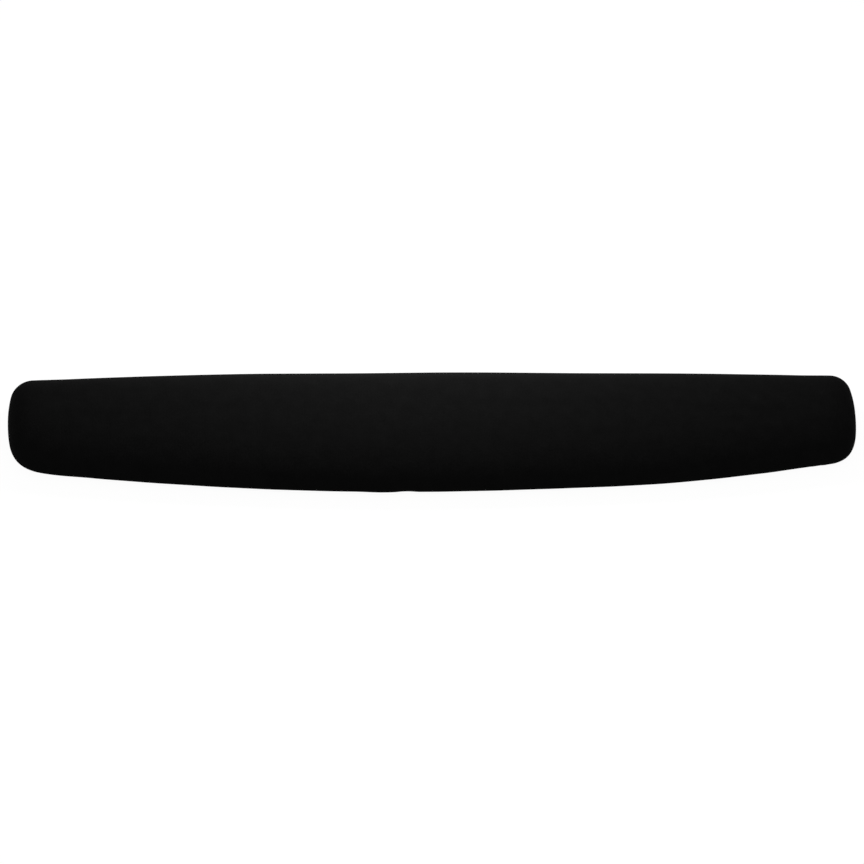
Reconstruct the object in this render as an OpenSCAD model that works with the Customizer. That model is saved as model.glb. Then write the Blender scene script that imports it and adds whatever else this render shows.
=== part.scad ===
// Keyboard wrist rest: a gel pad on a stiff board, wrapped in a stretch-knit cover, on a non-skid sheet.
// Millimetres, +Z up. The origin is on the desk, under the middle of the length and of the depth.
// +X runs along the keyboard, -Y is the user's side, and everything is mirrored about X = 0.

/* [Outline, seen from above] */
// Overall length, end to end
rest_length = 470; // [400:1:520]
// Overall depth at the middle, front edge to back edge
rest_depth = 74; // [70:0.5:90]
// How far the front edge would fall back by the ends
front_bow = 17.5; // [8:0.5:20]
// How far the back edge would come forward by the ends
back_bow = 5; // [1:0.5:8]
// Radius of the gently rounded end faces
end_radius = 84; // [60:1:150]
// Where the ends reach furthest, measured from the middle of the depth towards the back
end_centre = 11; // [7:0.5:13]
// Radius of the two front corners
front_corner = 21.5; // [16:0.5:24]
// Radius of the two back corners
back_corner = 11; // [10.5:0.25:14]

/* [Crown, seen from the end] */
// Height of the crest above the desk
rest_height = 22; // [15:0.5:28]
// Distance of the crest line in front of the back edge
crest_from_back = 22; // [18:0.5:34]
// Distance of the crest line's ends from the ends of the rest
crest_from_ends = 24; // [18:0.5:40]
// How square the shoulder is on the user's side; 2 is an ellipse
front_fullness = 2; // [1.7:0.1:4]
// How square the shoulder is on the keyboard's side; 2 is an ellipse
back_fullness = 3.2; // [2:0.1:5]
// How fast the walls rise all round; 2 is an ellipse
rise_fullness = 2.1; // [1.7:0.1:4]

/* [Cover] */
// Thickness of the knit with its backing
cover_thick = 0.9; // [0.6:0.05:1.2]
// Reach of the turned-in hem, measured inwards from the outer edge
hem_width = 8; // [5:0.25:9]

/* [Gel pad] */
// Thickness of the films that seal the gel
film_thick = 0.3; // [0.2:0.05:0.5]

/* [Base] */
// Thickness of the stiffening board where it lies over the hem
board_edge_thick = 1.4; // [1.3:0.1:3]
// Radius of the board's rounded lower edge, round which the cover folds
board_round = 0.9; // [0.4:0.1:1.2]
// Gap between the end of the hem and the step in the board
hem_gap = 0.5; // [0.2:0.1:1]
// Thickness of each layer of adhesive
adhesive_thick = 0.2; // [0.1:0.05:0.4]
// How far each layer of adhesive stops short of the edge it holds
adhesive_margin = 1.2; // [0.5:0.1:1.5]
// Thickness of the non-skid sheet
sheet_thick = 1.8; // [1:0.1:3]
// How much of the hem shows round the non-skid sheet
hem_reveal = 3.5; // [2.5:0.25:5]
// Radius of the non-skid sheet's rounded lower edge
sheet_round = 0.6; // [0.2:0.1:0.9]

/* [Smoothness] */
// Segments in half of the front edge, and of the back edge
edge_steps = 7; // [4:1:14]
// Segments in each corner
corner_steps = 8; // [4:1:10]
// Segments in each half of an end face
end_steps = 2; // [1:1:6]
// Rings up the crown
crown_steps = 11; // [6:1:14]
// Segments round each fold and rounded edge
fold_steps = 4; // [2:1:6]

/* [Hidden] */

knit_black = "#161617";
gel_blue = "#5f8fb8";
film_clear = "#c9d4dc";
adhesive_amber = "#cdb98a";
board_grey = "#3b3d40";
rubber_black = "#1f2022";

// Heights of the faces on which the layers lie, from the desk up
hem_bottom = sheet_thick + adhesive_thick;
hem_top = hem_bottom + cover_thick;
step_top = hem_top + adhesive_thick;
board_top = step_top + board_edge_thick;
pad_bottom = board_top + adhesive_thick;
film_top = pad_bottom + film_thick;

// Depths inside the cover's outer face
pad_inset = cover_thick;
gel_inset = pad_inset + film_thick;
board_inset = cover_thick + adhesive_thick;
fold_radius = board_inset + board_round;

// The crown stops a little short of its crest line, so that its flat top has a width
last_turn = 86;
// How late along the length the crown starts to lean in towards the ends of its crest line
lean_power = 13;

// The outline is made of arcs: front edge, front corner, end face, back corner, back edge
half_length = rest_length / 2;
half_depth = rest_depth / 2;
front_edge_radius = bow_radius(front_bow);
back_edge_radius = bow_radius(back_bow);
front_edge_centre = [0, front_edge_radius - half_depth];
back_edge_centre = [0, half_depth - back_edge_radius];
end_face_centre = [half_length - end_radius, end_centre];
front_corner_centre = outer_meet(front_edge_centre, front_edge_radius - front_corner,
                                 end_face_centre, end_radius - front_corner);
back_corner_centre = outer_meet(back_edge_centre, back_edge_radius - back_corner,
                                end_face_centre, end_radius - back_corner);
front_turn = bearing(front_edge_centre, front_corner_centre);
front_end_turn = bearing(end_face_centre, front_corner_centre);
back_end_turn = bearing(end_face_centre, back_corner_centre);
back_turn = bearing(back_edge_centre, back_corner_centre);

// The crest line runs along the length and carries the top of the crown
crest_y = half_depth - crest_from_back;
crest_half = half_length - crest_from_ends;

// Radius of an edge that spans the whole length and is bowed by this much
function bow_radius(bow) = (half_length ^ 2 + bow ^ 2) / (2 * bow);

// Where two circles meet, on the side towards +X
function outer_meet(centre_a, radius_a, centre_b, radius_b) =
    let (way = centre_b - centre_a,
         gap = norm(way),
         along = (radius_a ^ 2 - radius_b ^ 2 + gap ^ 2) / (2 * gap),
         aside = sqrt(max(radius_a ^ 2 - along ^ 2, 0)),
         foot = centre_a + way * along / gap,
         across = [-way.y, way.x] * aside / gap)
    (across.x > 0) ? foot + across : foot - across;

function bearing(from, to) = atan2(to.y - from.y, to.x - from.x);

function arc(centre, radius, from, to, steps) =
    [for (i = [0 : steps - 1])
        let (turn = from + (to - from) * i / steps)
        centre + radius * [cos(turn), sin(turn)]];

// Right half of the outline this far inside the cover's edge, from the front middle to the back middle
function right_outline(inset) =
    concat(arc(front_edge_centre, front_edge_radius - inset, -90, front_turn, edge_steps),
           arc(front_corner_centre, front_corner - inset, front_turn, front_end_turn, corner_steps),
           arc(end_face_centre, end_radius - inset, front_end_turn, 0, end_steps),
           arc(end_face_centre, end_radius - inset, 0, back_end_turn, end_steps),
           arc(back_corner_centre, back_corner - inset, back_end_turn, back_turn, corner_steps),
           arc(back_edge_centre, back_edge_radius - inset, back_turn, 90, edge_steps),
           [[0, half_depth - inset]]);

function outline(inset) =
    let (right = right_outline(inset))
    concat(right, [for (i = [len(right) - 2 : -1 : 1]) [-right[i].x, right[i].y]]);

// The point on the crest line that an outline point leans towards
function crest_point(p) =
    let (late = abs(p.x / half_length) ^ lean_power)
    [p.x * (1 - (1 - crest_half / half_length) * late), crest_y];

// How square the shoulder is above an outline point, from the front's value to the back's
function fullness(p) =
    let (back_share = min(1, max(0, (p.y + half_depth) / (crest_y + half_depth))))
    front_fullness + (back_fullness - front_fullness) * back_share ^ 2;

// Height at which the crown's face that lies this far inside the cover is, at a turn from 0 to last_turn
function crown_height(inset, turn) =
    board_top + (rest_height - inset - board_top) * (sin(turn) / sin(last_turn)) ^ (2 / rise_fullness);

// The turn at which that face has this height
function crown_turn(inset, z) =
    asin(sin(last_turn) * ((z - board_top) / (rest_height - inset - board_top)) ^ (rise_fullness / 2));

// A level ring of that face at this turn
function crown_ring(inset, turn) =
    [for (p = outline(inset))
        let (lean = 1 - cos(turn) ^ (2 / fullness(p)),
             q = p + (crest_point(p) - p) * lean)
        [q.x, q.y, crown_height(inset, turn)]];

// The same ring, found by its height
function level_ring(inset, z) = crown_ring(inset, crown_turn(inset, z));

// The rings of that face from the top of the lower film up to the crest
function crown(inset) =
    let (first_turn = crown_turn(inset, film_top))
    [for (i = [0 : crown_steps])
        crown_ring(inset, first_turn + (last_turn - first_turn) * i / crown_steps)];

// A ring with upright walls, for what lies below the crown
function flat_ring(inset, z) = [for (p = outline(inset)) [p.x, p.y, z]];

// The rings round the fold at this depth in the cover, from its underside out to its wall
function fold(depth) =
    [for (i = [0 : fold_steps])
        let (turn = 90 * i / fold_steps,
             radius = fold_radius - depth)
        flat_ring(fold_radius - radius * sin(turn), hem_bottom + fold_radius - radius * cos(turn))];

// The rings of one face of the cover or the board from its fold up to the lower film
function wall(depth) = concat(fold(depth), [flat_ring(depth, board_top)]);

function reversed(list) = [for (i = [len(list) - 1 : -1 : 0]) list[i]];

// A closed solid through a list of rings, with a flat face on the first and on the last
module skin(rings) {
    n = len(rings[0]);
    sides = [for (k = [0 : len(rings) - 2], i = [0 : n - 1], half = [0, 1])
        let (j = (i + 1) % n,
             a = k * n + i,
             b = k * n + j)
        (half == 0) ? [a, a + n, b] : [b, a + n, b + n]];
    first = [for (i = [0 : n - 1]) i];
    last = [for (i = [n - 1 : -1 : 0]) (len(rings) - 1) * n + i];
    polyhedron(points = [for (ring = rings, p = ring) p], faces = concat([first], sides, [last]),
               convexity = 6);
}

// A flat layer with square edges
module layer(inset, bottom, thick) {
    translate([0, 0, bottom])
        linear_extrude(thick)
            polygon(outline(inset));
}

// Stretch knit over the whole crown, folded round the board and turned in below it as a hem
module fabric_cover() {
    outer = concat(wall(0), [level_ring(0, pad_bottom)], crown(0));
    inner = concat(wall(cover_thick), [level_ring(pad_inset, pad_bottom)], crown(pad_inset));
    hem_end = [flat_ring(hem_width, hem_top), flat_ring(hem_width, hem_bottom)];
    color(knit_black)
        skin(concat(reversed(inner), hem_end, outer));
}

// Upper film, formed to the crown, in which the gel is cast
module gel_top_film() {
    color(film_clear)
        skin(concat(reversed(crown(gel_inset)), crown(pad_inset)));
}

// The gel itself, which fills the upper film
module gel_core() {
    color(gel_blue)
        skin(crown(gel_inset));
}

// Flat film, sealed to the rim of the upper one, that closes the gel
module gel_bottom_film() {
    color(film_clear)
        skin([level_ring(pad_inset, pad_bottom), level_ring(pad_inset, film_top)]);
}

// Adhesive between the gel pad and the board
module pad_adhesive() {
    color(adhesive_amber)
        layer(pad_inset + adhesive_margin, board_top, adhesive_thick);
}

// Stiffening board with a rounded edge and a stepped-back border below, in which the hem lies flush
module base_board() {
    step_inset = hem_width + hem_gap;
    color(board_grey)
        skin(concat([flat_ring(step_inset, hem_bottom), flat_ring(step_inset, step_top)],
                    wall(board_inset)));
}

// Adhesive between the turned-in hem and the stepped-back border of the board
module hem_adhesive() {
    color(adhesive_amber)
        difference() {
            layer(fold_radius, hem_top, adhesive_thick);
            translate([0, 0, -adhesive_thick])
                layer(hem_width - adhesive_margin, hem_top, 3 * adhesive_thick);
        }
}

// Adhesive between the non-skid sheet and the hem and board above it
module base_adhesive() {
    color(adhesive_amber)
        layer(hem_reveal + adhesive_margin, sheet_thick, adhesive_thick);
}

// Rubber sheet on which the rest stands, with its lower edge rounded
module nonskid_sheet() {
    rounded = [for (i = [0 : fold_steps])
        let (turn = 90 * i / fold_steps)
        flat_ring(hem_reveal + sheet_round * (1 - sin(turn)), sheet_round * (1 - cos(turn)))];
    color(rubber_black)
        skin(concat(rounded, [flat_ring(hem_reveal, sheet_thick)]));
}

fabric_cover();
gel_top_film();
gel_core();
gel_bottom_film();
pad_adhesive();
base_board();
hem_adhesive();
base_adhesive();
nonskid_sheet();
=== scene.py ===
# Looks of the keyboard wrist rest: knit cover over a gel pad, on a non-skid rubber sheet.
import bpy, bmesh
import math
from mathutils import Matrix, Vector, geometry
from mathutils.bvhtree import BVHTree
from mathutils.kdtree import KDTree


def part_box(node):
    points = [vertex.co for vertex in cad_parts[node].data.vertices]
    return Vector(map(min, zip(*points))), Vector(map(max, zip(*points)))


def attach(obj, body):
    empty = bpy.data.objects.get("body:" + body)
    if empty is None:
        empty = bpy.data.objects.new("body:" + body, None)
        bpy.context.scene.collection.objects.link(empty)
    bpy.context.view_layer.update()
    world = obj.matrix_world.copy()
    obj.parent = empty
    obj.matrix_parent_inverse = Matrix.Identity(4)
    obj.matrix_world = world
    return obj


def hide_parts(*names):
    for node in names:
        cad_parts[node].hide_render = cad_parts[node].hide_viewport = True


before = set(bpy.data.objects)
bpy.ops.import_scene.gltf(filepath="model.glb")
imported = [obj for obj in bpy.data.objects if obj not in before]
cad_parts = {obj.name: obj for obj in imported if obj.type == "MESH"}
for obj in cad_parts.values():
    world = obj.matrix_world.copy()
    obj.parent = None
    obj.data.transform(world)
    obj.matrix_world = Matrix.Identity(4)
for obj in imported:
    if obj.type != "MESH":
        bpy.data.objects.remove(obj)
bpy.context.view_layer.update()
mm = 0.001
print("Loaded the frame:", ", ".join(sorted(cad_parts)))

coverLow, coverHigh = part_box("fabric_cover")
sheetLow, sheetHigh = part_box("nonskid_sheet")
halfLength = coverHigh.x

# What the photograph shows, in its own pixels
photoSize = (864, 864)
imagePoints = {
    "leftEnd": (7.8, 425.0),
    "rightEnd": (855.8, 428.0),
    "backMiddle": (440.0, 372.9),
    "frontMiddle": (350.0, 491.5),
    "backLeft": (100.0, 378.2),
    "backRight": (780.0, 375.0),
    "frontLeft": (100.0, 478.7),
    "frontRight": (740.0, 476.3),
    "backLeftCorner": (20.5, 384.3),
    "backRightCorner": (844.5, 381.6),
    "frontLeftCorner": (20.5, 464.9),
    "frontLeftFull": (58.0, 475.3),
    "frontRightCorner": (846.5, 457.6),
    "hemTuck": (407.0, 490.5),
    "besideTuck": (380.0, 492.3),
    "backRise": (230.0, 374.4),
    "frontFull": (670.0, 482.8),
    "frontRightFlat": (822.0, 464.3),
    "backFlat": (590.0, 373.8),
}

# From the front and a little to the left, about 55 degrees above the desk.
# The picture is level along the rest's own length, hence the roll.
cameraView = dict(
    azimuth=-7.5,
    elevation=55.5,
    roll=5.73,
    distance=1.3,
    lens=98.35,
    sensorWidth=36,
    aim=(-3.3 * mm, 0, 6.9 * mm),
)


def makeCamera(view):
    a, e, r = (math.radians(view[k]) for k in ("azimuth", "elevation", "roll"))
    forward = Vector((-math.sin(a) * math.cos(e), math.cos(a) * math.cos(e), -math.sin(e)))
    level = Vector((math.cos(a), math.sin(a), 0))
    upright = level.cross(forward)
    across = level * math.cos(r) + upright * math.sin(r)
    up = upright * math.cos(r) - level * math.sin(r)
    bpy.ops.object.camera_add()
    camera = bpy.context.active_object
    camera.name = "photoCamera"
    camera.data.lens = view["lens"]
    camera.data.sensor_width = view["sensorWidth"]
    camera.data.sensor_fit = "AUTO"
    turn = Matrix((across, up, -forward)).transposed().to_4x4()
    place = Vector(view["aim"]) - forward * view["distance"]
    camera.matrix_world = Matrix.Translation(place) @ turn
    bpy.context.scene.camera = camera
    return camera


camera = makeCamera(cameraView)
print("Camera set")


def imageRay(x, y):
    # the way from the camera through a point of the photograph
    w, h = photoSize
    data, longSide = camera.data, max(photoSize)
    way = Vector((x - w / 2 + data.shift_x * longSide, h / 2 - y + data.shift_y * longSide,
                  -longSide * data.lens / data.sensor_width))
    return camera.matrix_world.translation, (camera.matrix_world.to_3x3() @ way).normalized()


def imagePlace(p):
    # where a place in the scene shows in the photograph's frame
    w, h = photoSize
    data, longSide = camera.data, max(photoSize)
    q = camera.matrix_world.inverted() @ Vector(p)
    scale = longSide * data.lens / data.sensor_width / -q.z
    return (w / 2 - data.shift_x * longSide + q.x * scale,
            h / 2 + data.shift_y * longSide - q.y * scale)


closingSteps = 12            # towards the place that is nearest to a ray


def surfacePoint(name, carrier):
    # a point of the photograph, brought onto the finished surface that carries it
    start, way = imageRay(*imagePoints[name])
    tree = BVHTree.FromObject(carrier, bpy.context.evaluated_depsgraph_get())
    spot = tree.ray_cast(start, way)[0]
    if spot is None:
        # the ray passes just beside the surface, so the place nearest to it is closed in on
        spot = Vector(cameraView["aim"])
        for step in range(closingSteps):
            spot = tree.find_nearest(start + way * (spot - start).dot(way))[0]
    return spot


def deselectAll():
    if bpy.context.mode != "OBJECT":
        bpy.ops.object.mode_set(mode="OBJECT")
    bpy.ops.object.select_all(action="DESELECT")


def workOn(piece):
    deselectAll()
    piece.select_set(True)
    bpy.context.view_layer.objects.active = piece


weldWithin = 0.001 * mm      # corners of a CAD node's triangles that are nearer than this are one


def copyNode(node, name):
    # a piece of its own that starts from a CAD node's shape, with its loose triangles merged
    piece = bpy.data.objects.new(name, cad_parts[node].data.copy())
    bpy.context.scene.collection.objects.link(piece)
    piece.data.materials.clear()
    workOn(piece)
    bpy.ops.object.mode_set(mode="EDIT")
    bpy.ops.mesh.select_all(action="SELECT")
    bpy.ops.mesh.remove_doubles(threshold=weldWithin)
    bpy.ops.mesh.normals_make_consistent(inside=False)
    bpy.ops.object.mode_set(mode="OBJECT")
    return piece


def selectFaces(piece, test):
    # in edit mode, selects the faces for which the test holds and nothing else
    mesh = bmesh.from_edit_mesh(piece.data)
    bpy.ops.mesh.select_mode(type="FACE")
    for face in mesh.faces:
        face.select_set(False)
    for face in mesh.faces:
        if test(face):
            face.select_set(True)
    bmesh.update_edit_mesh(piece.data)


def modifierDone(piece, kind, **settings):
    # adds a modifier with its settings and applies it
    workOn(piece)
    modifier = piece.modifiers.new(kind.title(), kind)
    for key, value in settings.items():
        setattr(modifier, key, value)
    bpy.ops.object.modifier_apply(modifier=modifier.name)


def weightGroup(piece, name, weigh):
    # a vertex group with each vertex's weight from its place; it is known by its name from then on,
    # because what points at the group itself goes stale when a modifier is applied
    group = piece.vertex_groups.new(name=name)
    for vertex in piece.data.vertices:
        weight = weigh(vertex.co)
        if weight > 0:
            group.add([vertex.index], min(1, weight), "REPLACE")


def fade(value, start, end):
    # 0 at start, 1 at end, smooth between
    t = min(1, max(0, (value - start) / (end - start)))
    return t * t * (3 - 2 * t)


coverKnit = dict(
    # its form, from the CAD cover
    spineFromEnds=30 * mm,        # skin that looks away from a line inside the crown is the outer one
    spineAcross=0.3,              # of the half depth, from the middle to the back
    spineHeight=6 * mm,
    crestWithin=0.02 * mm,        # what counts as the level crest
    longEdge=14 * mm,             # what counts as a long edge of the sides
    longEdgeRise=0.1,             # and as a level one, in its rise over its length
    longEdgeCuts=3,
    pairTurn=math.radians(60),    # how far two triangles may be turned, to be joined in one face
    pairSkew=math.radians(180),   # and how far that face's corners may be from square
    roundSteps=2,                 # of subdivision, over the facets
    # the gel that fills it
    voxel=3 * mm,                 # grid of the bag that is filled
    slack=0.5 * mm,               # how much smaller the sewn bag is before the gel fills it
    heldBelow=4.5 * mm,           # the knit is bonded to the board up to here
    freeAbove=8 * mm,             # and follows the gel from here
    stretch=dict(quality=6, mass=0.3, tension_stiffness=15, compression_stiffness=15,
                 shear_stiffness=5, bending_stiffness=0.5),
    pressure=4.0,
    frames=20,
    capOut=0.7 * mm,              # the most that the filling pushes the knit out
    capIn=0.05 * mm,              # and in, because the gel under it doesn't give
    evenRounds=40,                # a taut knit spreads the swell evenly
    carriedFrom=6,                # places of the bag that give each place of the cover its swell
    carriedSoft=0.5 * mm,         # the larger, the more even their shares
    # what hand work leaves: how far the sides stand out or in at some places, and how far round them
    uneven=dict(
        backLeftCorner=(0.38 * mm, 26 * mm),
        backLeft=(0.58 * mm, 70 * mm),
        backRise=(1.2 * mm, 90 * mm),
        backMiddle=(0.37 * mm, 80 * mm),
        backFlat=(-0.35 * mm, 80 * mm),
        backRightCorner=(0.59 * mm, 26 * mm),
        leftEnd=(0.26 * mm, 30 * mm),
        rightEnd=(0.15 * mm, 30 * mm),
        frontLeftCorner=(0.43 * mm, 12 * mm),
        frontLeftFull=(0.5 * mm, 18 * mm),
        frontLeft=(0.43 * mm, 60 * mm),
        frontMiddle=(0.25 * mm, 80 * mm),
        besideTuck=(0.35 * mm, 14 * mm),
        frontFull=(1.16 * mm, 80 * mm),
        frontRightFlat=(-0.65 * mm, 34 * mm),
        frontRightCorner=(0.75 * mm, 13 * mm),
    ),
    # one tuck in the hem, near the middle of the front
    tuckDepth=0.45 * mm,
    tuckHalf=7 * mm,
    tuckFull=0.2,                 # share of that half with the whole depth
    tuckHeights=(1 * mm, 5 * mm),         # above the hem, from where it is full to where it ends
    tuckShows=2 * mm,             # how far round its middle it is looked for in the picture
    # small gathers where the knit turns under round the corners
    gatherPitch=5 * mm,
    gatherDepth=0.12 * mm,
    gatherFromEnds=(40 * mm, 16 * mm),    # from where they start to where they are full
    gatherFromMiddle=(10 * mm, 24 * mm),
    gatherFull=0.3 * mm,          # above the hem, up to where they are full
    gatherTop=3.4 * mm,           # above the desk, where they end
    # how the knit's pattern lies
    crestFromBack=22 * mm,        # it runs down the sides away from the crest
    crestFromEnds=24 * mm,
    wayFactor=0.75,               # how much of its height it gains as it goes down a side
    wayFade=10 * mm,
    foldRadius=2 * mm,            # of the turn from the side to the hem
    wallBelow=0.5 * mm,           # strip of the side from below the fold's upper end
    wallAbove=2 * mm,             # to above it, from which the pattern goes on round the fold
    wallLean=0.5,                 # the most that such a side may look up or down
    thickness=0.85 * mm,
    fill=0.9,
)


def coverForm():
    # the CAD cover's outer skin and hem, in even faces, with its facets rounded off
    look = coverKnit
    form = copyNode("fabric_cover", "coverForm")
    spineEnd = halfLength - look["spineFromEnds"]
    spineY = coverHigh.y * look["spineAcross"]
    crest = coverHigh.z - look["crestWithin"]

    def facesIn(face):
        place = face.calc_center_median()
        middle = Vector((min(spineEnd, max(-spineEnd, place.x)), spineY, look["spineHeight"]))
        return face.normal.dot(place - middle) < 0

    def onCrest(face):
        return all(v.co.z > crest for v in face.verts)
    bpy.ops.object.mode_set(mode="EDIT")
    selectFaces(form, facesIn)
    bpy.ops.mesh.delete(type="FACE")
    selectFaces(form, onCrest)
    bpy.ops.mesh.dissolve_faces()
    selectFaces(form, lambda face: not onCrest(face))
    bpy.ops.mesh.tris_convert_to_quads(face_threshold=look["pairTurn"],
                                       shape_threshold=look["pairSkew"])
    mesh = bmesh.from_edit_mesh(form.data)
    bpy.ops.mesh.select_mode(type="EDGE")
    bpy.ops.mesh.select_all(action="DESELECT")
    for edge in mesh.edges:
        along = edge.verts[1].co - edge.verts[0].co
        level = abs(along.z) < look["longEdgeRise"] * along.length
        edge.select_set(level and along.length > look["longEdge"])
    bmesh.update_edit_mesh(form.data)
    bpy.ops.mesh.subdivide(number_cuts=look["longEdgeCuts"])
    selectFaces(form, onCrest)
    bpy.ops.mesh.quads_convert_to_tris(ngon_method="BEAUTY")
    bpy.ops.mesh.tris_convert_to_quads(face_threshold=look["pairTurn"],
                                       shape_threshold=look["pairSkew"])
    bpy.ops.object.mode_set(mode="OBJECT")
    modifierDone(form, "SUBSURF", levels=look["roundSteps"], render_levels=look["roundSteps"])
    workOn(form)
    bpy.ops.object.shade_smooth()
    return form


def closeBelow(piece):
    # fills the opening that the hem leaves under the board, so that the form can be filled like a bag
    workOn(piece)
    bpy.ops.object.mode_set(mode="EDIT")
    bpy.ops.mesh.select_mode(type="EDGE")
    bpy.ops.mesh.select_all(action="DESELECT")
    bpy.ops.mesh.select_non_manifold(extend=False, use_multi_face=False, use_non_contiguous=False,
                                     use_verts=False)
    bpy.ops.mesh.edge_face_add()
    bpy.ops.mesh.select_all(action="SELECT")
    bpy.ops.mesh.normals_make_consistent(inside=False)
    bpy.ops.object.mode_set(mode="OBJECT")


def evenOut(piece, values, rounds):
    # spreads each vertex's value over its neighbours, so that it changes gently
    near = [[] for vertex in piece.data.vertices]
    for edge in piece.data.edges:
        first, second = edge.vertices
        near[first].append(second)
        near[second].append(first)
    for step in range(rounds):
        values = [(value + sum(values[j] for j in around)) / (1 + len(around))
                  for value, around in zip(values, near)]
    return values


def freedom(p):
    # 0 where the knit is bonded to the board, 1 where it follows the gel
    return fade(p.z, coverKnit["heldBelow"], coverKnit["freeAbove"])


def swellOfGel(form):
    # how far the gel pushes the knit out of the form: a bag with the form's shape, made a little
    # smaller, is filled by Cloth with pressure; what is bonded to the board stays where it is
    look = coverKnit
    bag = bpy.data.objects.new("gelBag", form.data.copy())
    bpy.context.scene.collection.objects.link(bag)
    closeBelow(bag)
    modifierDone(bag, "REMESH", mode="VOXEL", voxel_size=look["voxel"], use_smooth_shade=True)
    modifierDone(bag, "SHRINKWRAP", target=form)
    moulded = [(vertex.co.copy(), vertex.normal.copy()) for vertex in bag.data.vertices]
    weightGroup(bag, "free", freedom)
    weightGroup(bag, "bonded", lambda p: 1 - freedom(p))
    modifierDone(bag, "DISPLACE", strength=-look["slack"], mid_level=0, vertex_group="free")
    workOn(bag)
    cloth = bag.modifiers.new("Gel", "CLOTH")
    for key, value in look["stretch"].items():
        setattr(cloth.settings, key, value)
    cloth.settings.use_pressure = True
    cloth.settings.uniform_pressure_force = look["pressure"]
    cloth.settings.vertex_group_mass = "bonded"
    cloth.settings.effector_weights.gravity = 0
    cloth.point_cache.frame_start = 1
    cloth.point_cache.frame_end = look["frames"]
    for step in range(1, look["frames"] + 1):
        bpy.context.scene.frame_set(step)
    bpy.ops.object.modifier_apply(modifier=cloth.name)
    bpy.context.scene.frame_set(1)
    swell = []
    for vertex, (place, outwards) in zip(bag.data.vertices, moulded):
        out = (vertex.co - place).dot(outwards)
        cap = look["capOut"] if out > 0 else look["capIn"]
        swell.append(cap * math.tanh(out / cap) * freedom(place))
    swell = evenOut(bag, swell, look["evenRounds"])
    bpy.data.objects.remove(bag)
    return [place for place, outwards in moulded], swell


def fillWithGel(piece):
    # the swell of the filled bag, carried over to the cover's own even faces
    look = coverKnit
    places, swell = swellOfGel(piece)
    tree = KDTree(len(places))
    for i, place in enumerate(places):
        tree.insert(place, i)
    tree.balance()
    moves = []
    for vertex in piece.data.vertices:
        near = [(swell[i], 1 / (away + look["carriedSoft"]))
                for place, i, away in tree.find_n(vertex.co, look["carriedFrom"])]
        out = sum(value * share for value, share in near) / sum(share for value, share in near)
        moves.append(vertex.normal * out)
    for vertex, move in zip(piece.data.vertices, moves):
        vertex.co += move
    print("Gel filling: the knit stands", round(min(swell) / mm, 2), "to", round(max(swell) / mm, 2),
          "mm off its moulded form")


def moveOut(piece, howFar, sideways):
    # moves the skin out or in by what howFar says of each place, along its normal or only sideways
    level = Vector((1, 1, 0 if sideways else 1))
    outwards = [vertex.normal * level for vertex in piece.data.vertices]
    for vertex, out in zip(piece.data.vertices, outwards):
        vertex.co += out * howFar(vertex.co)


def settleSides(piece):
    # what hand work leaves: sides a little uneven, one tuck in the hem, gathers under the corners
    look = coverKnit
    uneven = [(surfacePoint(name, piece), out, reach) for name, (out, reach) in look["uneven"].items()]
    tuck = surfacePoint("hemTuck", piece)
    tuckFull = look["tuckFull"] * look["tuckHalf"]
    tuckBottom, tuckTop = (coverLow.z + height for height in look["tuckHeights"])
    gatherBottom = coverLow.z + look["gatherFull"]
    gatherFrom, gatherTo = (halfLength - reach for reach in look["gatherFromEnds"])

    def settled(p):
        out = 0
        for place, amount, reach in uneven:
            out += amount * (1 - fade((p - place).length, 0, reach))
        if p.y < 0:
            notch = 1 - fade(abs(p.x - tuck.x), tuckFull, look["tuckHalf"])
            out -= look["tuckDepth"] * notch * (1 - fade(p.z, tuckBottom, tuckTop))
        return out

    def gathered(p):
        corner = fade(abs(p.x), gatherFrom, gatherTo) * fade(abs(p.y), *look["gatherFromMiddle"])
        low = 1 - fade(p.z, gatherBottom, look["gatherTop"])
        along = (abs(p.x) - abs(p.y)) / math.sqrt(2)
        return look["gatherDepth"] * corner * low * math.sin(2 * math.pi * along / look["gatherPitch"])
    moveOut(piece, settled, sideways=True)
    moveOut(piece, gathered, sideways=False)
    return tuck


def layOutKnit(piece):
    # the knit's own directions, kept as an attribute: flat on top, and running on down the sides,
    # round the fold and along the hem
    look = coverKnit
    fold = look["foldRadius"]
    foldTop = coverLow.z + fold
    crest = Vector((halfLength - look["crestFromEnds"], coverHigh.y - look["crestFromBack"]))
    top = max(vertex.co.z for vertex in piece.data.vertices)
    corners = [vertex.co.copy() for vertex in piece.data.vertices]
    walls = [list(face.vertices) for face in piece.data.polygons
             if abs(face.normal.z) < look["wallLean"]
             and foldTop - look["wallBelow"] < face.center.z < foldTop + look["wallAbove"]]
    side = BVHTree.FromPolygons(corners, walls)
    way = piece.data.attributes.new("knitWay", "FLOAT_VECTOR", "POINT")
    for index, p in enumerate(corners):
        under = 0
        if p.z < foldTop:
            p = side.find_nearest(Vector((p.x, p.y, foldTop)))[0]
            inwards = math.hypot(p.x - corners[index].x, p.y - corners[index].y)
            under = fold * math.acos(max(0, 1 - inwards / fold)) + max(0, inwards - fold)
        away = Vector((p.x - max(-crest.x, min(crest.x, p.x)), p.y - crest.y))
        down = look["wayFactor"] * (top - p.z) * fade(away.length, 0, look["wayFade"]) + under
        away = away.normalized() * down
        way.data[index].vector = (p.x + away.x, p.y + away.y, 0)


def makeCover():
    look = coverKnit
    cover = coverForm()
    cover.name = "knitCover"
    print("Cover's form:", len(cover.data.polygons), "faces")
    fillWithGel(cover)
    tuck = settleSides(cover)
    layOutKnit(cover)
    modifierDone(cover, "SOLIDIFY", thickness=look["thickness"], offset=-1)
    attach(cover, "root")
    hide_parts("fabric_cover")
    print("Cover:", len(cover.data.polygons), "faces")
    return cover, tuck


cover, tuckPlace = makeCover()

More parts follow.
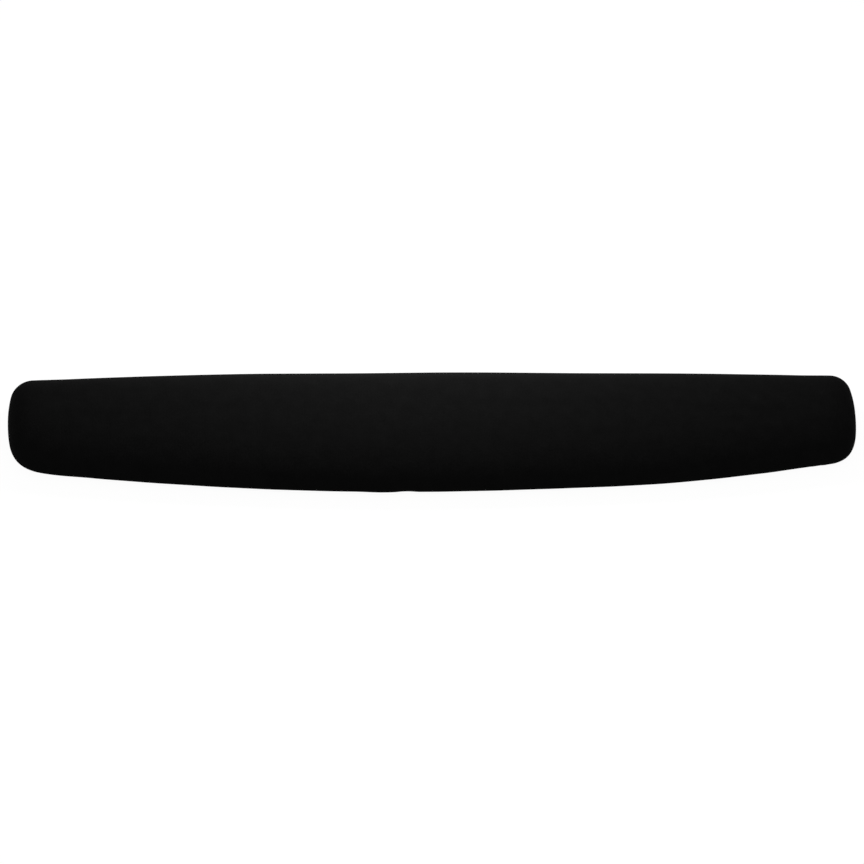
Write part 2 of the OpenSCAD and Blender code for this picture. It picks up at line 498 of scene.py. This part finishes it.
rubberSheet = dict(
    studAcross=2 * mm,
    studHeight=0.3 * mm,
    studRoot=0.2 * mm,       # how far a stud runs up into the sheet
    studRound=0.12 * mm,
    studFaces=8,
    pitch=4 * mm,            # of the studs, in rows set half a step aside
    border=1.2 * mm,         # flat rubber left outside the last stud
    borderSpots=8,           # places round a stud that are tried for it
    lookDown=0.999,          # how squarely a flat face looks down
    sharpOver=math.radians(35),
)


def makeStuds(flatBelow):
    # one stud, then rows of it; those that don't stand wholly on the flat underside go
    look = rubberSheet
    step, row = look["pitch"], look["pitch"] * math.sqrt(3)
    columns = math.ceil((sheetHigh.x - sheetLow.x) / step / 2) * 2
    rows = math.ceil((sheetHigh.y - sheetLow.y) / row)
    start = Vector((-columns * step / 2, (sheetHigh.y + sheetLow.y) / 2 - rows * row / 2, 0))
    tall = look["studHeight"] + look["studRoot"]
    deselectAll()
    bpy.ops.mesh.primitive_cylinder_add(vertices=look["studFaces"], radius=look["studAcross"] / 2,
                                        depth=tall, location=start + Vector((0, 0, tall / 2)))
    studs = bpy.context.active_object
    studs.name = "studs"
    bpy.ops.object.transform_apply(location=True, rotation=True, scale=True)
    bpy.ops.object.mode_set(mode="EDIT")
    selectFaces(studs, lambda face: face.normal.z < -look["lookDown"])
    bpy.ops.mesh.bevel(offset=look["studRound"], segments=1)
    bpy.ops.object.mode_set(mode="OBJECT")
    rowsAndColumns = (
        (columns + 1, (step, 0, 0)),
        (2, (step / 2, row / 2, 0)),
        (rows + 1, (0, row, 0)),
    )
    for count, offset in rowsAndColumns:
        modifierDone(studs, "ARRAY", count=count, use_relative_offset=False, use_constant_offset=True,
                     constant_offset_displace=offset)
    reach = look["studAcross"] / 2 + look["border"]
    standing = {}

    def stands(x, y):
        for k in range(look["borderSpots"]):
            turn = 2 * math.pi * k / look["borderSpots"]
            spot = Vector((x + reach * math.cos(turn), y + reach * math.sin(turn), sheetLow.z - tall))
            hit = flatBelow.ray_cast(spot, Vector((0, 0, 1)))
            if hit[0] is None or hit[1].z > -look["lookDown"]:
                return False
        return True

    def astray(face):
        # a face belongs to the stud whose place in the rows is nearest to it
        place = face.calc_center_median() - start
        near = []
        for aside in (0, 1):
            i = round((place.x - aside * step / 2) / step)
            j = round((place.y - aside * row / 2) / row)
            x, y = i * step + aside * step / 2, j * row + aside * row / 2
            near.append((math.hypot(place.x - x, place.y - y), (i, j, aside), x + start.x, y + start.y))
        away, stud, x, y = min(near)
        if stud not in standing:
            standing[stud] = stands(x, y)
        return not standing[stud]
    workOn(studs)
    bpy.ops.object.mode_set(mode="EDIT")
    selectFaces(studs, astray)
    bpy.ops.mesh.delete(type="FACE")
    bpy.ops.object.mode_set(mode="OBJECT")
    print("Studs under the sheet:", sum(standing.values()))
    return studs


def makeRubberSheet():
    # the CAD sheet with its underside raised by a stud's height, and the studs down to the desk
    look = rubberSheet
    sheet = copyNode("nonskid_sheet", "rubberSheet")
    bpy.ops.object.mode_set(mode="EDIT")
    mesh = bmesh.from_edit_mesh(sheet.data)
    bpy.ops.mesh.select_mode(type="VERT")
    middle = (sheetLow.z + sheetHigh.z) / 2
    for vertex in mesh.verts:
        vertex.select_set(vertex.co.z < middle)
    bmesh.update_edit_mesh(sheet.data)
    bpy.ops.transform.translate(value=(0, 0, look["studHeight"]))
    bpy.ops.object.mode_set(mode="OBJECT")
    studs = makeStuds(BVHTree.FromObject(sheet, bpy.context.evaluated_depsgraph_get()))
    workOn(sheet)
    studs.select_set(True)
    bpy.ops.object.join()
    bpy.ops.object.shade_smooth_by_angle(angle=look["sharpOver"])
    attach(sheet, "root")
    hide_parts("nonskid_sheet")
    return sheet


sheet = makeRubberSheet()
print("Rubber sheet:", len(sheet.data.polygons), "faces")


def linearColour(code):
    # an sRGB hex value as the linear colour that a shader takes
    parts = [int(code[i:i + 2], 16) / 255 for i in (1, 3, 5)]
    return tuple(c / 12.92 if c <= 0.04045 else ((c + 0.055) / 1.055) ** 2.4 for c in parts) + (1.0,)


def addNode(tree, kind, sockets, **settings):
    # adds one node; each of its sockets is given a value, or another node's output to link to
    node = tree.nodes.new(kind)
    for key, value in settings.items():
        setattr(node, key, value)
    for key, value in sockets.items():
        if isinstance(value, bpy.types.NodeSocket):
            tree.links.new(value, node.inputs[key])
        else:
            node.inputs[key].default_value = value
    return node


def newMaterial(name):
    material = bpy.data.materials.new(name)
    material.use_nodes = True
    material.node_tree.nodes.clear()
    return material, material.node_tree


knitLook = dict(
    wale=1.0 * mm,           # loops side by side; really about half of this, drawn coarser to show
    course=0.85 * mm,        # loops above each other, as much coarser
    lean=0.9,                # how far the legs of a loop lean, in courses
    legLow=0.4,              # height of a leg where a loop goes under the next, of its full height
    yarn="#171717",
    # painted shade: the colour where the loops dip, darker than the yarn
    between="#0a0a0a",
    mottle=7 * mm,           # size of the soft cloudiness
    mottleStrength=0.10,
    fuzz=0.35 * mm,          # size of the raised fibres, and their height in that of the loops
    fuzzShare=0.35,
    loopHeight=0.12 * mm,
    relief=0.7,
    rough=(0.95, 0.8),       # between the loops, and on them
    gloss=0.01,              # a raised black knit has next to none
    rim=0.01,                # the faint brightness at grazing angles, its spread and its colour
    rimRough=0.4,
    rimColour="#8c8c8c",
)


def polyesterKnit():
    # Fine black polyester jersey, knitted and raised a little: matt and near black, a little cloudy,
    # with a faint bright rim at grazing angles
    look = knitLook
    material, tree = newMaterial("polyesterJerseyKnit")
    way = addNode(tree, "ShaderNodeAttribute", {}, attribute_name="knitWay")
    axes = addNode(tree, "ShaderNodeSeparateXYZ", {"Vector": way.outputs["Vector"]})
    # across the loops: two legs to each wale
    wale = addNode(tree, "ShaderNodeMath", {0: axes.outputs["Y"], 1: 1 / look["wale"]},
                   operation="MULTIPLY")
    across = addNode(tree, "ShaderNodeMath", {0: wale.outputs[0], 1: 0.5}, operation="PINGPONG")
    legTurn = addNode(tree, "ShaderNodeMath", {0: across.outputs[0], 1: 2 * math.pi},
                      operation="MULTIPLY")
    leg = addNode(tree, "ShaderNodeMath", {0: legTurn.outputs[0]}, operation="SINE")
    # along the loops: each course, leaning towards the wale's middle
    course = addNode(tree, "ShaderNodeMath", {0: axes.outputs["X"], 1: 1 / look["course"]},
                     operation="MULTIPLY")
    leaning = addNode(tree, "ShaderNodeMath",
                      {0: across.outputs[0], 1: 2 * look["lean"], 2: course.outputs[0]},
                      operation="MULTIPLY_ADD")
    loopTurn = addNode(tree, "ShaderNodeMath", {0: leaning.outputs[0], 1: math.pi},
                       operation="MULTIPLY")
    wave = addNode(tree, "ShaderNodeMath", {0: loopTurn.outputs[0]}, operation="SINE")
    swell = addNode(tree, "ShaderNodeMath", {0: wave.outputs[0]}, operation="ABSOLUTE")
    loop = addNode(tree, "ShaderNodeMath",
                   {0: swell.outputs[0], 1: 1 - look["legLow"], 2: look["legLow"]},
                   operation="MULTIPLY_ADD")
    height = addNode(tree, "ShaderNodeMath", {0: leg.outputs[0], 1: loop.outputs[0]},
                     operation="MULTIPLY")
    # colour: painted shade, darker between the loops where they dip, and cloudy
    place = addNode(tree, "ShaderNodeTexCoord", {})
    cloud = addNode(tree, "ShaderNodeTexNoise", {
        "Vector": place.outputs["Object"], "Scale": 1 / look["mottle"], "Detail": 3.0,
        "Roughness": 0.55})
    shade = addNode(tree, "ShaderNodeMapRange", {
        "Value": cloud.outputs[0], "From Min": 0.3, "From Max": 0.7,
        "To Min": 1 - look["mottleStrength"], "To Max": 1 + look["mottleStrength"]})
    # the yarn's colour with painted shade mixed in where the loops dip
    yarn = addNode(tree, "ShaderNodeMix", {
        0: height.outputs[0], 6: linearColour(look["between"]), 7: linearColour(look["yarn"])},
        data_type="RGBA")
    colour = addNode(tree, "ShaderNodeHueSaturation", {
        "Color": yarn.outputs[2], "Value": shade.outputs[0]})
    rough = addNode(tree, "ShaderNodeMapRange", {
        "Value": height.outputs[0], "To Min": look["rough"][0], "To Max": look["rough"][1]})
    # relief: the loops, with raised fibres over them
    fibre = addNode(tree, "ShaderNodeTexNoise", {
        "Vector": place.outputs["Object"], "Scale": 1 / look["fuzz"], "Detail": 2.0})
    relief = addNode(tree, "ShaderNodeMath",
                     {0: fibre.outputs[0], 1: look["fuzzShare"], 2: height.outputs[0]},
                     operation="MULTIPLY_ADD")
    bump = addNode(tree, "ShaderNodeBump", {
        "Height": relief.outputs[0], "Strength": look["relief"], "Distance": look["loopHeight"]})
    cloth = addNode(tree, "ShaderNodeBsdfPrincipled", {
        "Base Color": colour.outputs[0], "Roughness": rough.outputs[0], "Normal": bump.outputs[0],
        "IOR": 1.5, "Specular IOR Level": look["gloss"], "Sheen Weight": look["rim"],
        "Sheen Roughness": look["rimRough"], "Sheen Tint": linearColour(look["rimColour"])})
    addNode(tree, "ShaderNodeOutputMaterial", {"Surface": cloth.outputs[0]})
    return material


rubberLook = dict(
    plain="#1b1b1c",
    bloomed="#242426",
    bloom=14 * mm,           # size of the patches with grey bloom
    bloomFrom=(0.42, 0.7),   # noise values from where it shows to where it is full
    rough=(0.6, 0.8),
    grain=0.5 * mm,
    grainDepth=0.04 * mm,
    relief=0.5,
)


def mouldedRubber():
    # Black natural rubber, press moulded: matt, with a fine grain from the mould, a trace of grey bloom
    look = rubberLook
    material, tree = newMaterial("mouldedNaturalRubber")
    place = addNode(tree, "ShaderNodeTexCoord", {})
    grain = addNode(tree, "ShaderNodeTexNoise", {
        "Vector": place.outputs["Object"], "Scale": 1 / look["grain"], "Detail": 4.0})
    bloom = addNode(tree, "ShaderNodeTexNoise", {
        "Vector": place.outputs["Object"], "Scale": 1 / look["bloom"], "Detail": 4.0,
        "Roughness": 0.6})
    spread = addNode(tree, "ShaderNodeMapRange", {
        "Value": bloom.outputs[0], "From Min": look["bloomFrom"][0], "From Max": look["bloomFrom"][1]})
    colour = addNode(tree, "ShaderNodeMix", {
        0: spread.outputs[0], 6: linearColour(look["plain"]), 7: linearColour(look["bloomed"])},
        data_type="RGBA")
    rough = addNode(tree, "ShaderNodeMapRange", {
        "Value": bloom.outputs[0], "To Min": look["rough"][0], "To Max": look["rough"][1]})
    bump = addNode(tree, "ShaderNodeBump", {
        "Height": grain.outputs[0], "Strength": look["relief"], "Distance": look["grainDepth"]})
    rubber = addNode(tree, "ShaderNodeBsdfPrincipled", {
        "Base Color": colour.outputs[2], "Roughness": rough.outputs[0], "Normal": bump.outputs[0],
        "IOR": 1.52})
    addNode(tree, "ShaderNodeOutputMaterial", {"Surface": rubber.outputs[0]})
    return material


innerLooks = dict(
    # Polyurethane gel, cast: cloudy and see-through at the rim, soft gloss
    castPolyurethaneGel=dict(
        nodes=["gel_core"], colours=("#5384b0", "#6c9bc4"), rough=(0.25, 0.4), ior=1.46,
        patch=18 * mm, grain=1.5 * mm, depth=0.02 * mm, through=0.35),
    # Thin blown polyurethane film: clear, glossy, with soft creases
    blownPolyurethaneFilm=dict(
        nodes=["gel_top_film", "gel_bottom_film"], colours=("#c2cdd6", "#d3dbe1"), rough=(0.15, 0.3),
        ior=1.5, patch=25 * mm, grain=9 * mm, depth=0.3 * mm, through=0.5),
    # Acrylic adhesive, rolled on and dried: amber, uneven, half gloss
    rolledAcrylicAdhesive=dict(
        nodes=["pad_adhesive", "hem_adhesive", "base_adhesive"], colours=("#c4b07e", "#d5c494"),
        rough=(0.35, 0.6), ior=1.47, patch=8 * mm, grain=1.2 * mm, depth=0.08 * mm, through=0.0),
    # Polypropylene board, injection moulded: dark grey, spark-eroded grain
    mouldedPolypropylene=dict(
        nodes=["base_board"], colours=("#3a3c3f", "#404246"), rough=(0.5, 0.62), ior=1.49,
        patch=30 * mm, grain=0.6 * mm, depth=0.05 * mm, through=0.0),
)


def innerMaterial(name, look):
    # the sealed inner pieces share one recipe: colour and gloss that drift together, and a grain
    material, tree = newMaterial(name)
    place = addNode(tree, "ShaderNodeTexCoord", {})
    patch = addNode(tree, "ShaderNodeTexNoise", {
        "Vector": place.outputs["Object"], "Scale": 1 / look["patch"], "Detail": 3.0})
    grain = addNode(tree, "ShaderNodeTexNoise", {
        "Vector": place.outputs["Object"], "Scale": 1 / look["grain"], "Detail": 3.0})
    first, second = (linearColour(code) for code in look["colours"])
    colour = addNode(tree, "ShaderNodeMix", {0: patch.outputs[0], 6: first, 7: second},
                     data_type="RGBA")
    rough = addNode(tree, "ShaderNodeMapRange", {
        "Value": patch.outputs[0], "To Min": look["rough"][0], "To Max": look["rough"][1]})
    bump = addNode(tree, "ShaderNodeBump", {
        "Height": grain.outputs[0], "Strength": 0.6, "Distance": look["depth"]})
    shader = addNode(tree, "ShaderNodeBsdfPrincipled", {
        "Base Color": colour.outputs[2], "Roughness": rough.outputs[0], "Normal": bump.outputs[0],
        "IOR": look["ior"], "Transmission Weight": look["through"]})
    addNode(tree, "ShaderNodeOutputMaterial", {"Surface": shader.outputs[0]})
    return material


cover.data.materials.append(polyesterKnit())
sheet.data.materials.clear()
sheet.data.materials.append(mouldedRubber())
for name, look in innerLooks.items():
    material = innerMaterial(name, look)
    for node in look["nodes"]:
        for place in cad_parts[node].material_slots:
            place.material = material
print("Materials done:", 2 + len(innerLooks))

studio = dict(
    floorSize=6.0,
    floorBelow=0.02 * mm,
    floorSeen=0.95,               # what it gives by itself to the camera, besides the light on it
    floorColour="#606060",
    floorUnseen="#a9a9a9",        # as it lights the object; darker, as the photograph's front is dark
    lampFrom=(0, 0.24, 0.18),     # above and behind, near enough that the ends get less of it
    lampTo=(0, 0, 10 * mm),
    lampSize=0.12,
    lampPower=1.2,
    fill=0.40,                    # even light from all round
)


def whereSeen(tree):
    # 1 for the rays that show the background: straight, mirrored, or through something clear
    rays = addNode(tree, "ShaderNodeLightPath", {})
    mirrored = addNode(tree, "ShaderNodeMath",
                       {0: rays.outputs["Is Camera Ray"], 1: rays.outputs["Is Glossy Ray"]},
                       operation="MAXIMUM")
    seen = addNode(tree, "ShaderNodeMath",
                   {0: mirrored.outputs[0], 1: rays.outputs["Is Transmission Ray"]},
                   operation="MAXIMUM")
    return seen.outputs[0]


def makeFloor():
    # white to the camera, with the object's own shadow on it
    look = studio
    deselectAll()
    bpy.ops.mesh.primitive_plane_add(size=look["floorSize"], location=(0, 0, -look["floorBelow"]))
    floor = bpy.context.active_object
    floor.name = "floor"
    bpy.ops.object.transform_apply(location=True, rotation=True, scale=True)
    material, tree = newMaterial("matteWhiteTable")
    seen = whereSeen(tree)
    pale = addNode(tree, "ShaderNodeBsdfDiffuse", {"Color": linearColour(look["floorColour"])})
    glow = addNode(tree, "ShaderNodeEmission", {"Color": (1, 1, 1, 1), "Strength": look["floorSeen"]})
    white = addNode(tree, "ShaderNodeAddShader", {0: pale.outputs[0], 1: glow.outputs[0]})
    dull = addNode(tree, "ShaderNodeBsdfDiffuse", {"Color": linearColour(look["floorUnseen"])})
    either = addNode(tree, "ShaderNodeMixShader", {0: seen, 1: dull.outputs[0], 2: white.outputs[0]})
    addNode(tree, "ShaderNodeOutputMaterial", {"Surface": either.outputs[0]})
    floor.data.materials.append(material)


def makeWorld():
    # white wherever it is seen or mirrored, and a weak even light for everything else
    world = bpy.data.worlds.new("studioWorld")
    world.use_nodes = True
    tree = world.node_tree
    tree.nodes.clear()
    strength = addNode(tree, "ShaderNodeMapRange", {
        "Value": whereSeen(tree), "To Min": studio["fill"], "To Max": 1.0})
    back = addNode(tree, "ShaderNodeBackground", {
        "Color": (1, 1, 1, 1), "Strength": strength.outputs[0]})
    addNode(tree, "ShaderNodeOutputWorld", {"Surface": back.outputs[0]})
    bpy.context.scene.world = world


def makeLamp():
    look = studio
    start, aim = Vector(look["lampFrom"]), Vector(look["lampTo"])
    deselectAll()
    bpy.ops.object.light_add(type="AREA", location=start)
    lamp = bpy.context.active_object
    lamp.name = "softBox"
    lamp.data.size = look["lampSize"]
    lamp.data.energy = look["lampPower"]
    lamp.rotation_euler = (aim - start).to_track_quat("-Z", "Y").to_euler()
    lamp.visible_camera = False


makeFloor()
makeWorld()
makeLamp()
bpy.context.scene.view_settings.view_transform = "Standard"
print("Studio done")


def nearestOnOutline(outline, x, y):
    # the point of a closed outline in the picture that is nearest to x, y
    target = Vector((x, y))
    spots = []
    for k in range(len(outline)):
        first, second = outline[k - 1], outline[k]
        share = geometry.intersect_point_line(target, first, second)[1]
        spots.append(first.lerp(second, max(0, min(1, share))))
    return min(spots, key=lambda spot: (spot - target).length)


def writePoints():
    # where each point of the photograph falls on the outline of the finished vertices; the places found
    # are not written out
    seen = [Vector(imagePlace(v.co)) for piece in (cover, sheet) for v in piece.data.vertices]
    outline = [seen[i] for i in geometry.convex_hull_2d(seen)]
    found = {}
    for name, (x, y) in imagePoints.items():
        found[name] = nearestOnOutline(outline, x, y)
    found["leftEnd"].x = min(p.x for p in outline)
    found["rightEnd"].x = max(p.x for p in outline)
    found["backMiddle"].y = min(p.y for p in outline)
    found["besideTuck"].y = max(p.y for p in outline)
    near = [v.co for v in cover.data.vertices if (v.co - tuckPlace).length < coverKnit["tuckShows"]]
    found["hemTuck"] = sum((Vector(imagePlace(p)) for p in near), Vector((0, 0))) / max(1, len(near))


writePoints()
bpy.context.view_layer.update()
